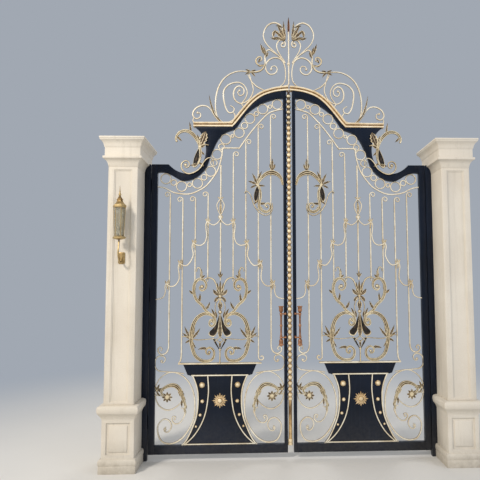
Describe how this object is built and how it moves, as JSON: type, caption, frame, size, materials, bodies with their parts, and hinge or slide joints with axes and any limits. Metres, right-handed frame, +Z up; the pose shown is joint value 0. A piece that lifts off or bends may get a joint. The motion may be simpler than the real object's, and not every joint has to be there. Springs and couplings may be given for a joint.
{
  "type": "wrought iron driveway gate",
  "caption": "Pair of arched wrought iron driveway gates with scrollwork, crest and lower panels, hinged between two panelled masonry piers.",
  "frame": {"origin": "centre of the left pier's foot, on the ground", "axes": "+X to the right along the gateway, +Y inward, the way the leaves open, +Z up"},
  "size_m": [3.6826, 0.714, 4.5699],
  "materials": {
    "masonry": "painted smooth stone",
    "navy_paint": "satin",
    "pale_gilt": "gilt paint, rubbed",
    "warm_gilt": "gilt paint, satin",
    "antique_bronze": "patinated, gold on the edges",
    "lantern_brass": "aged"
  },
  "bodies": {
    "root": {"left_pier_base": "masonry", "left_pier_shaft": "masonry", "left_pier_cap": "masonry", "left_jamb": "navy_paint", "wall_lantern": "lantern_brass", "right_pier_base": "masonry", "right_pier_shaft": "masonry", "right_pier_cap": "masonry", "right_jamb": "navy_paint"},
    "left_leaf": {"left_hinge_stile": "navy_paint", "left_meeting_stile": "navy_paint", "left_bottom_rail": "navy_paint", "left_head": "navy_paint", "left_cornice": "warm_gilt", "left_ring_frieze": "pale_gilt", "left_bars": "pale_gilt", "left_garland": "pale_gilt", "left_cartouche": "antique_bronze", "left_acanthus_scroll": "antique_bronze", "left_shoulder_scroll": "antique_bronze", "left_panel": "navy_paint", "left_panel_trim": "pale_gilt", "left_bosses": "pale_gilt", "left_lower_scrolls": "pale_gilt", "left_crest": "pale_gilt", "left_pull_handle": "pale_gilt", "astragal": "warm_gilt", "crest_finial": "pale_gilt"},
    "right_leaf": {"right_hinge_stile": "navy_paint", "right_meeting_stile": "navy_paint", "right_bottom_rail": "navy_paint", "right_head": "navy_paint", "right_cornice": "warm_gilt", "right_ring_frieze": "pale_gilt", "right_bars": "pale_gilt", "right_garland": "pale_gilt", "right_cartouche": "antique_bronze", "right_acanthus_scroll": "antique_bronze", "right_shoulder_scroll": "antique_bronze", "right_panel": "navy_paint", "right_panel_trim": "pale_gilt", "right_bosses": "pale_gilt", "right_lower_scrolls": "pale_gilt", "right_crest": "pale_gilt", "right_pull_handle": "pale_gilt"}
  },
  "joints": [
    {"name": "left_hinge", "type": "hinge", "parent": "root", "child": "left_leaf", "pos_m": [0.2063, 0.037, 0], "axis": [0, 0, 1], "range_deg": [0, 90]},
    {"name": "right_hinge", "type": "hinge", "parent": "root", "child": "right_leaf", "pos_m": [3.0463, 0.037, 0], "axis": [0, 0, -1], "range_deg": [0, 90]}
  ]
}
